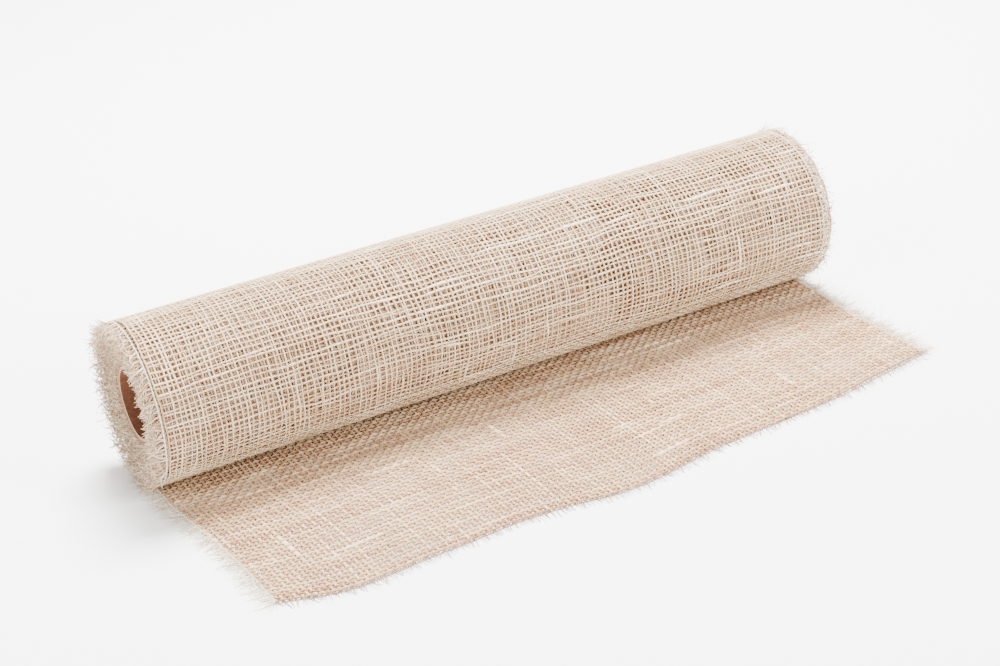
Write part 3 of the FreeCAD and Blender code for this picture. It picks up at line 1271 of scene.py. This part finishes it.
@dataclass
class RollEnds:
    """The selvage threads and the curled weft ends at the two ends of the roll."""

    roll: RollSizes
    finishes: Finishes
    outer: WovenTurn
    turns: int = 21
    hairs_per_end: int = 4
    hair_spread: float = 0.0085
    shorter_at_card: float = 0.80
    rim_reach: float = 0.0088
    rim_fall: float = 0.0060
    rim_sweep: float = 1.45
    rim_points: int = 8
    rim_warp_reach: float = 0.0090
    rim_warps: tuple[float, ...] = (0.35, 0.68, 0.93)

    def build(self) -> None:
        """Makes a thread piece and a fringe piece for each end of the roll."""
        for edge in Edge:
            label = edge.name.lower()
            self._thread(edge, label)
            self._fringe(edge, label)

    def _thread(self, edge: Edge, label: str) -> None:
        """Makes the selvage thread round the outer turn.

        Args:
            edge: which end of the roll.
            label: the end's name.
        """
        thread = SelvageThread(self.finishes, half_width=0.00027 if edge is Edge.LEFT else 0.00020)
        piece = YarnPiece(f"selvage_thread_on_roll_{label}")
        row = self.outer.weave.along[0 if edge is Edge.LEFT else -1]
        across = np.full(len(row), edge.value * (CLOTH.width / 2 + CLOTH.selvage_offset))
        thread.add_to(piece, self.outer.place, across, row, True)
        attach(thread.finish(piece), Body.ROLL.value)

    def _fringe(self, edge: Edge, label: str) -> None:
        """Makes the weft ends of every turn, which fold over the end of the roll.

        Args:
            edge: which end of the roll.
            label: the end's name.
        """
        rng = np.random.default_rng(71 + edge.value)
        piece = YarnPiece(f"weft_ends_on_roll_{label}")
        for turn in range(self.turns):
            radius = self.roll.radius - turn * CLOTH.turn_pitch - 0.0006
            if radius < self.roll.core_radius + 0.0008:
                break
            count = round(2 * math.pi * radius / CLOTH.pick_pitch)
            angle = (np.arange(count) + rng.uniform(0.2, 0.8, count)) * 2 * math.pi / count
            away = outward(angle)
            tangent = np.stack([np.zeros(count), np.cos(angle), np.sin(angle)], 1)
            start = away * radius
            start[:, 0] = edge.value * (CLOTH.width / 2 - 0.0005 + rng.uniform(0, 0.0006))
            start[:, 2] += self.roll.axis_height
            axial = np.array([edge.value, 0.0, 0.0])
            depth = turn / (self.turns - 1)
            self._add_ends(rng, piece, start, axial, away, tangent, depth)
        if edge is Edge.RIGHT:
            self._add_rim_picks(rng, piece)
            self._add_rim_warps(rng, piece)
        made = dress(piece.build(), self.finishes.fringe)
        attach(made, Body.ROLL.value)
        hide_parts(f"roll_fringe_{label}")

    def _add_rim_picks(self, rng: np.random.Generator, piece: YarnPiece) -> None:
        """Adds the ends of the outer turn's picks, which round in over the roll's right end.

        Args:
            rng: the source of the wandering.
            piece: collects the yarns.
        """
        count, points = self.outer.picks, self.rim_points
        angle = (np.arange(count) + 0.5) * 2 * math.pi / count + rng.normal(0, 0.004, count)
        sweep = np.linspace(0.0, self.rim_sweep, points)
        fall = (1 - np.cos(sweep)) * self.rim_fall
        radius = self.roll.radius - 0.0006 - fall[None] + rng.normal(0, 0.00018, (count, points))
        sway = rng.normal(0.01, 0.02, count)[:, None]
        normal = outward(angle[:, None] + np.linspace(0.0, 1.0, points)[None] * sway)
        centre = normal * radius[..., None]
        centre[..., 0] = CLOTH.width / 2 - 0.0004 + np.sin(sweep) * self.rim_reach
        centre[..., 2] += self.roll.axis_height
        wide = np.broadcast_to(rng.uniform(0.85, 1.2, count)[:, None], (count, points))
        shade = np.broadcast_to(rng.normal(0.40, 0.16, count)[:, None], (count, points))
        piece.add(Yarns(
            centre, normal, wide * TIGHT_PICK.half_width, wide * TIGHT_WARP.half_height, shade, 5))

    def _add_rim_warps(self, rng: np.random.Generator, piece: YarnPiece) -> None:
        """Adds the last few warps, each a ring round the rim of the roll's right end.

        Args:
            rng: the source of the wandering.
            piece: collects the yarns.
        """
        count = self.outer.picks
        normal = outward(np.arange(count) * 2 * math.pi / count)
        for share in self.rim_warps:
            bend = share * math.pi / 2
            fall = (1 - math.cos(bend)) * self.rim_fall
            radius = self.roll.radius - 0.0005 - fall + rng.normal(0, 0.0002, count)
            centre = normal * radius[:, None]
            reach = math.sin(bend) * self.rim_warp_reach
            centre[:, 0] = CLOTH.width / 2 + reach + rng.normal(0, 0.00022, count)
            centre[:, 2] += self.roll.axis_height
            size = np.full((1, count), 0.00048)
            tone = rng.normal(0.38, 0.10, (1, count))
            piece.add(Yarns(centre[None], normal[None], size, size * 0.75, tone, 5, True))

    def _add_ends(
        self, rng: np.random.Generator, piece: YarnPiece, start: np.ndarray, axial: np.ndarray,
        away: np.ndarray, tangent: np.ndarray, depth: float,
    ) -> None:
        """Adds one turn's weft ends: a stout yarn and a few loose hairs from each.

        Args:
            rng: the source of the wandering.
            piece: collects the yarns.
            start: where each weft end leaves the cloth.
            axial: the direction out of the roll's end.
            away: the direction away from the roll's axis, for each end.
            tangent: the direction round the roll, for each end.
            depth: from 0 at the outer turn to 1 at the card.
        """
        count = len(start)
        sway = rng.normal(0.12, 0.18, count)[:, None] * tangent
        rise = 0.08 - 0.10 * depth + rng.normal(0, 0.07, count)
        heading = axial + sway + away * rise[:, None]
        inwards = (0.9 - 1.3 * depth) * rng.uniform(0.4, 1.2, count)
        swirl = rng.normal(0.5, 0.6, count)
        pull = swirl[:, None] * tangent - inwards[:, None] * away - 1.1 * axial
        reach = 1 - self.shorter_at_card * depth
        ROLL_END.add_to(piece, rng, start, heading, pull, reach)
        for _ in range(self.hairs_per_end):
            offset = (rng.normal(0, 0.0009, count)[:, None] * tangent
                      + rng.normal(0, 0.0004, count)[:, None] * away
                      + (rng.uniform(0.25, 0.95, count) * self.hair_spread * reach)[:, None] * axial)
            lie = (rng.normal(0.4, 0.8, count)[:, None] * tangent
                   + rng.normal(-0.1, 0.6, count)[:, None] * away + 0.25 * axial)
            ROLL_HAIR.add_to(piece, rng, start + offset, lie, NO_PULL, 0.5 + 0.5 * reach)


@dataclass
class LaidCloth:
    """The free end of the cloth on the table, from the roll to its frayed hem."""

    finishes: Finishes
    seed: int = 5
    hairs_per_weft_end: int = 9
    hairs_per_warp_end: int = 4

    def __post_init__(self) -> None:
        """Works out where the warps and picks lie."""
        self.place = OnTable(
            self.seed, near_base=0.00066, far_base=0.00002, rise=LOOSE_PICK.lift + LOOSE_PICK.half_height,
            swell=0.0010, kept_under_roll=0.32, press_reach=0.020)
        share = (np.arange(CLOTH.warps) + 0.5) / CLOTH.warps * 2 - 1
        even = (np.arange(CLOTH.picks_laid) + 0.5) * CLOTH.pick_pitch
        fold = CLOTH.picks_before_fold * CLOTH.pick_pitch
        late = (np.arange(CLOTH.picks_laid) + 0.5 - CLOTH.picks_before_fold)
        late = late / (CLOTH.picks_laid - 0.5 - CLOTH.picks_before_fold)
        hem = hem_distance(share)[:, None]
        distance = np.where(even <= fold, even, fold + late * (hem - fold))
        across = self.edge_places(share[:, None], distance)
        # The laid weave is given painted shade where its yarns dip.
        self.weave = Weave(
            across, -distance, self.seed, warp=LOOSE_WARP, pick=LOOSE_PICK, parity=1, wander=0.35,
            dip_painted_shade=0.13, pressed=self.place.press(-distance))

    @staticmethod
    def edge_places(share: np.ndarray, distance: np.ndarray) -> np.ndarray:
        """Where points at a share of the width lie across the cloth.

        Args:
            share: the place across the cloth, from -1 at the left edge to 1 at the right.
            distance: the distances from the roll.

        Returns:
            The places across the cloth.
        """
        left = -CLOTH.width / 2 + draw_in(Edge.LEFT, distance)
        right = CLOTH.width / 2 - draw_in(Edge.RIGHT, distance)
        return left + (share + 1) / 2 * (right - left)

    def build(self) -> None:
        """Makes the cloth, its threads, its side fringes and its hem."""
        cloth = self._cloth(2)
        extras = [self._hem()]
        for edge in Edge:
            extras.append(self._thread(edge))
            extras.append(self._fringe(edge))
        for piece in cloth + extras:
            fold_with_cloth(piece)
        nodes = [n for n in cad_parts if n.startswith(("laid_", "free_end_", "hem_"))]
        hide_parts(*nodes)

    def _cloth(self, parts: int) -> list[bpy.types.Object]:
        """Makes the woven part.

        Args:
            parts: how many pieces, side by side.

        Returns:
            The pieces.
        """
        bounds = [round(CLOTH.warps * k / parts) for k in range(parts + 1)]
        made = []
        for k in range(parts):
            piece = self.weave.piece(f"laid_cloth_{k + 1}", self.place, bounds[k], bounds[k + 1])
            # The laid cloth wears the darker copy of the jute, which is painted shade.
            made.append(dress(piece, self.finishes.laid_jute_painted_shade))
        return made

    def _edge_row(self, edge: Edge) -> Placed:
        """Where each pick meets an edge.

        Args:
            edge: which edge.

        Returns:
            The places across the cloth and along it.
        """
        along = self.weave.along[0 if edge is Edge.LEFT else -1]
        across = self.edge_places(np.full(len(along), float(edge.value)), -along)
        return across + edge.value * CLOTH.selvage_offset, along

    def _thread(self, edge: Edge) -> bpy.types.Object:
        """Makes the selvage thread along one edge.

        Args:
            edge: which edge.

        Returns:
            The piece.
        """
        thread = SelvageThread(self.finishes, half_width=0.00020)
        piece = YarnPiece(f"selvage_thread_laid_{edge.name.lower()}")
        across, along = self._edge_row(edge)
        thread.add_to(piece, self.place, across, along, False)
        return thread.finish(piece)

    def _fringe(self, edge: Edge) -> bpy.types.Object:
        """Makes the weft ends along one edge.

        Args:
            edge: which edge.

        Returns:
            The piece.
        """
        rng = np.random.default_rng(31 + edge.value)
        piece = YarnPiece(f"weft_ends_laid_{edge.name.lower()}")
        across, along = self._edge_row(edge)
        count = len(along)
        start, _ = self.place(across - edge.value * 0.0012, along, np.zeros(count))
        heading = np.array([edge.value, 0.0, 0.0]) + np.stack(
            [np.zeros(count), rng.normal(-0.12, 0.22, count), np.zeros(count)], 1)
        pull = -0.3 * UP
        LAID_END.add_to(piece, rng, start, heading, pull)
        for _ in range(self.hairs_per_weft_end):
            spread = rng.standard_normal((count, 3)) * np.array([0.1, 0.38, 0.10])
            LAID_HAIR.add_to(piece, rng, start, heading + spread, pull)
        return dress(piece.build(), self.finishes.side_fringe)

    def _hem(self) -> bpy.types.Object:
        """Makes the frayed warp ends past the last pick.

        Returns:
            The piece.
        """
        rng = np.random.default_rng(43)
        piece = YarnPiece("frayed_hem")
        across, along = self.weave.across[:, -1], self.weave.along[:, -1]
        count = len(across)
        start, _ = self.place(across, along + 0.0008, np.zeros(count))
        heading = np.array([0.0, -1.0, 0.0]) + np.stack(
            [rng.normal(0.04, 0.09, count), np.zeros(count), np.zeros(count)], 1)
        pull = -0.25 * UP
        HEM_END.add_to(piece, rng, start, heading, pull, CLOTH.hem_fringe)
        for _ in range(self.hairs_per_warp_end):
            spread = rng.standard_normal((count, 3)) * np.array([0.22, 0.1, 0.08])
            HEM_HAIR.add_to(piece, rng, start, heading + spread, pull, CLOTH.hem_fringe)
        return dress(piece.build(), self.finishes.hem_fringe)


@dataclass
class BarkFlecks:
    """Specks and slivers of jute bark caught in the cloth."""

    finishes: Finishes
    outer: WovenTurn
    laid: LaidCloth
    on_roll: int = 60
    on_table: int = 70

    def build(self) -> None:
        """Makes the flecks of the roll and those of the laid cloth."""
        rng = np.random.default_rng(97)
        turn = self.outer.picks * CLOTH.pick_pitch
        across = rng.uniform(-0.48, 0.48, self.on_roll) * CLOTH.width
        roll = self._piece(rng, "bark_flecks_on_roll", self.outer.place, across,
                           rng.uniform(0, turn, self.on_roll), TIGHT_PICK)
        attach(roll, Body.ROLL.value)
        across = rng.uniform(-0.44, 0.47, self.on_table) * CLOTH.width
        laid = self._piece(rng, "bark_flecks_laid", self.laid.place, across,
                           -rng.uniform(0.020, 0.160, self.on_table), LOOSE_PICK)
        fold_with_cloth(laid)

    def _piece(
        self, rng: np.random.Generator, name: str, place: Placer, across: np.ndarray,
        along: np.ndarray, yarn: YarnSizes,
    ) -> bpy.types.Object:
        """Makes one piece of flecks.

        Args:
            rng: the source of the scatter.
            name: the object's name.
            place: puts points of the cloth in space.
            across: the flecks' places across the cloth.
            along: the flecks' places along the cloth.
            yarn: the yarns that the flecks lie on.

        Returns:
            The piece.
        """
        count = len(across)
        top = np.full(count, yarn.lift + yarn.half_height)
        start, _ = place(across, along, top)
        ahead, _ = place(across + rng.normal(0, 1, count) * 0.001, along + 0.001, top)
        piece = YarnPiece(name)
        piece.add(Strands(
            start, ahead - start, 0.0006 + rng.exponential(0.0009, count), 0.00016,
            rng.uniform(0.2, 0.8, count), curl=0.3, points=4, sides=3).yarns(rng))
        return dress(piece.build(), self.finishes.bark)


@dataclass
class ReserveCloth:
    """The cloth that follows the roll: under the laid cloth at rest, laid bare as the roll backs off."""

    finishes: Finishes
    laid: LaidCloth

    def build(self) -> None:
        """Makes the reserve, its threads and its side fringes."""
        count = CLOTH.reserve_picks
        low = OnTable(1, near_base=0.0, far_base=0.0, rise=FLAT_YARN.lift + FLAT_YARN.half_height)
        above = self.laid.weave
        weave = Weave(
            above.across[:, :count][:, ::-1], above.along[:, :count][:, ::-1], seed=9,
            warp=FLAT_YARN, pick=FLAT_YARN, parity=above.parity, wander=0.0)
        piece = weave.piece("reserve_cloth", low, 0, CLOTH.warps)
        # The reserve wears the dark orange copy of the jute, which is painted shade.
        dress(piece, self.finishes.reserve_jute_painted_shade)
        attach(piece, Body.NIP.value)
        threads = YarnPiece("reserve_selvage_threads")
        thread = SelvageThread(self.finishes, half_width=0.00014, swing=0.00012)
        for edge in Edge:
            along = weave.along[0 if edge is Edge.LEFT else -1]
            across = np.full(count, edge.value * (CLOTH.width / 2 + CLOTH.selvage_offset))
            thread.add_to(threads, low, across, along, False)
        ends = self._fringe(weave, low)
        made = thread.finish(threads)
        for extra in (made, ends):
            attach(extra, Body.NIP.value)
        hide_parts("nip_cloth")

    def _fringe(self, weave: Weave, place: OnTable) -> bpy.types.Object:
        """Makes the reserve's weft ends.

        Args:
            weave: the reserve's weave.
            place: puts points of the cloth in space.

        Returns:
            The piece.
        """
        rng = np.random.default_rng(83)
        piece = YarnPiece("reserve_weft_ends")
        for edge in Edge:
            along = weave.along[0 if edge is Edge.LEFT else -1]
            count = len(along)
            start, _ = place(np.full(count, edge.value * (CLOTH.width / 2 - 0.0006)), along, np.zeros(count))
            heading = np.array([edge.value, 0.0, 0.0]) + np.stack(
                [np.zeros(count), rng.normal(-0.1, 0.2, count), np.zeros(count)], 1)
            for kind in (RESERVE_END, RESERVE_HAIR, RESERVE_HAIR):
                spread = rng.standard_normal((count, 3)) * np.array([0.1, 0.2, 0.0])
                kind.add_to(piece, rng, start, heading + spread, -0.6 * UP)
        return dress(piece.build(), self.finishes.fringe)


# --- The studio ---------------------------------------------------------------------------


@dataclass(frozen=True)
class StudioCamera:
    """The camera's place and aim: yaw from +Y towards +X, pitch down and roll, in degrees."""

    place: tuple[float, float, float] = (-0.5683, -1.1752, 0.6548)
    yaw: float = 26.336
    pitch: float = 25.646
    roll: float = -5.583
    lens: float = 75.78

    def build(self) -> None:
        """Makes the camera and makes it the scene's."""
        yaw, pitch, roll = (math.radians(a) for a in (self.yaw, self.pitch, self.roll))
        ahead = Vector((math.sin(yaw) * math.cos(pitch), math.cos(yaw) * math.cos(pitch), -math.sin(pitch)))
        right = ahead.cross(Vector((0, 0, 1))).normalized()
        up = right.cross(ahead)
        across = math.cos(roll) * right + math.sin(roll) * up
        above = -math.sin(roll) * right + math.cos(roll) * up
        bpy.ops.object.camera_add()
        camera = bpy.context.object
        camera.name = "studio_camera"
        turned = Matrix((across, above, -ahead)).transposed().to_4x4()
        camera.matrix_world = Matrix.Translation(self.place) @ turned
        camera.data.lens = self.lens
        camera.data.sensor_width = 36.0
        camera.data.clip_end = 50.0
        bpy.context.scene.camera = camera


@dataclass(frozen=True)
class Softbox:
    """A square studio light that faces a point on the roll."""

    name: str
    place: tuple[float, float, float]
    side: float
    watts: float
    aim: tuple[float, float, float] = (0.0, -0.03, 0.04)

    def build(self) -> bpy.types.Object:
        """Makes the light.

        Returns:
            The light.
        """
        bpy.ops.object.light_add(type="AREA", location=self.place)
        light = bpy.context.object
        light.name = self.name
        light.data.size = self.side
        light.data.energy = self.watts
        towards = Vector(self.aim) - Vector(self.place)
        light.rotation_euler = towards.to_track_quat("-Z", "Y").to_euler()
        return light


@dataclass
class Studio:
    """The table, the lights, the pale surroundings and the camera."""

    table_side: float = 30.0
    surroundings: float = 0.65

    def build(self) -> None:
        """Makes everything that isn't the object."""
        bpy.ops.object.select_all(action="DESELECT")
        bpy.ops.mesh.primitive_plane_add(size=self.table_side, location=(0, 0, 0))
        table = bpy.context.object
        table.name = "table_top"
        table.data.materials.append(TableFinish().material())
        lights = [
            Softbox("key_softbox", (1.3, -2.0, 1.3), 0.9, 125.0),
            Softbox("overhead_softbox", (0.4, 0.75, 2.0), 1.0, 350.0),
            Softbox("side_softbox", (-2.0, -0.3, 1.3), 1.0, 40.0),
        ]
        for light in lights:
            light.build()
        world = bpy.data.worlds.new("pale_surroundings")
        world.use_nodes = True
        glow = next(n for n in world.node_tree.nodes if n.type == "BACKGROUND")
        glow.inputs["Color"].default_value = (1.0, 1.0, 1.0, 1.0)
        glow.inputs["Strength"].default_value = self.surroundings
        bpy.context.scene.world = world
        StudioCamera().build()


def main() -> None:
    """Builds the object, piece by piece, and the studio round it."""
    logging.basicConfig(level=logging.INFO, format="%(name)s: %(message)s")
    roll = RollSizes.from_frame()
    finishes = Finishes(roll)
    CardCore(finishes).build()
    DeeperTurns(roll, finishes).build()
    outer = WovenTurn(roll, finishes, depth=0, seed=3)
    outer.build(4)
    WovenTurn(roll, finishes, depth=1, seed=17).build(2)
    RollEnds(roll, finishes, outer).build()
    laid = LaidCloth(finishes)
    laid.build()
    BarkFlecks(finishes, outer, laid).build()
    ReserveCloth(finishes, laid).build()
    Studio().build()


if __name__ == "__main__":
    main()
